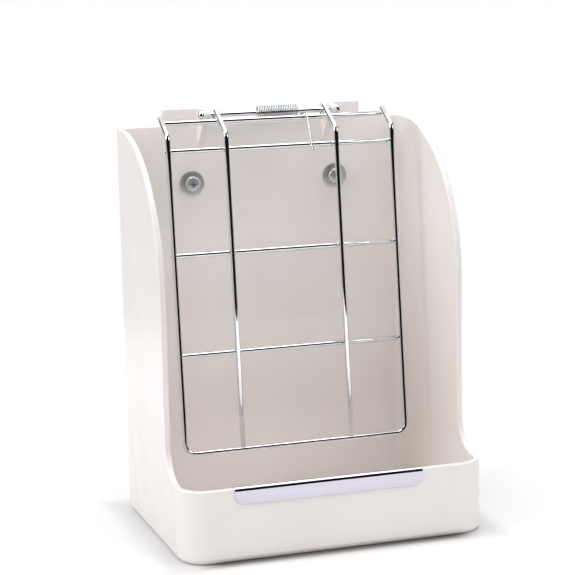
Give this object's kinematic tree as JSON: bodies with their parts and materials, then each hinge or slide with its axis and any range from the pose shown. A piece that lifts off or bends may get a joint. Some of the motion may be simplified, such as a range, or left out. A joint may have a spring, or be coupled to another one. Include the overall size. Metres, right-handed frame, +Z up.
{
  "type": "hay feeder box",
  "caption": "Plastic hay feeder box with a low front lip, curved side walls and a sprung wire grid that holds hay back while a small pet pulls it out.",
  "frame": {"origin": "middle of the box's underside, in the plane that it stands on", "axes": "+X to the right as seen from the front, +Y to the rear wall, +Z up"},
  "size_m": [0.18, 0.1512, 0.2406],
  "materials": {
    "moulded_plastic": "smooth moulded, glossy, warm white",
    "stainless_strip": "bright rolled sheet, folded",
    "chromed_wire": "bright chrome plate on steel wire",
    "spring_wire": "bright drawn spring steel",
    "plated_fastener": "bright zinc plate"
  },
  "bodies": {
    "box": {"feeder_body": "moulded_plastic", "front_guard_strip": "stainless_strip", "axle_rod": "chromed_wire", "axle_cap_left": "chromed_wire", "axle_cap_right": "chromed_wire", "torsion_spring": "spring_wire", "mounting_bolt_left": "plated_fastener", "mounting_bolt_right": "plated_fastener", "head_washer_left": "plated_fastener", "head_washer_right": "plated_fastener"},
    "grid": {"grid_outer_wire": "chromed_wire", "grid_upright_left": "chromed_wire", "grid_upright_right": "chromed_wire", "hinge_crossbar": "chromed_wire", "upper_crossbar": "chromed_wire", "middle_crossbar": "chromed_wire", "lower_crossbar": "chromed_wire"},
    "left_clamp": {"clamp_washer_left": "plated_fastener"},
    "left_nut": {"wing_nut_left": "plated_fastener"},
    "right_clamp": {"clamp_washer_right": "plated_fastener"},
    "right_nut": {"wing_nut_right": "plated_fastener"}
  },
  "joints": [
    {"name": "grid_hinge", "type": "hinge", "parent": "box", "child": "grid", "pos_m": [0, 0.047, 0.236], "axis": [1, 0, 0], "range_deg": [-100, 15.6], "stiffness_Nm_per_rad": 0.05, "springref_deg": 34.38, "deforming": ["torsion_spring"]},
    {"name": "left_clamp_slide", "type": "slide", "parent": "box", "child": "left_clamp", "axis": [0, 1, 0], "range_m": [0, 0.0121]},
    {"name": "left_nut_spin", "type": "hinge", "parent": "left_clamp", "child": "left_nut", "pos_m": [-0.045, 0.07, 0.1945], "axis": [0, 1, 0], "range_deg": [0, 5400]},
    {"name": "right_clamp_slide", "type": "slide", "parent": "box", "child": "right_clamp", "axis": [0, 1, 0], "range_m": [0, 0.0121]},
    {"name": "right_nut_spin", "type": "hinge", "parent": "right_clamp", "child": "right_nut", "pos_m": [0.045, 0.07, 0.1945], "axis": [0, 1, 0], "range_deg": [0, 5400]}
  ],
  "couplings": [
    {"joint": "left_clamp_slide", "follows": "left_nut_spin", "m_per_rad": 0.00012732},
    {"joint": "right_clamp_slide", "follows": "right_nut_spin", "m_per_rad": 0.00012732}
  ]
}
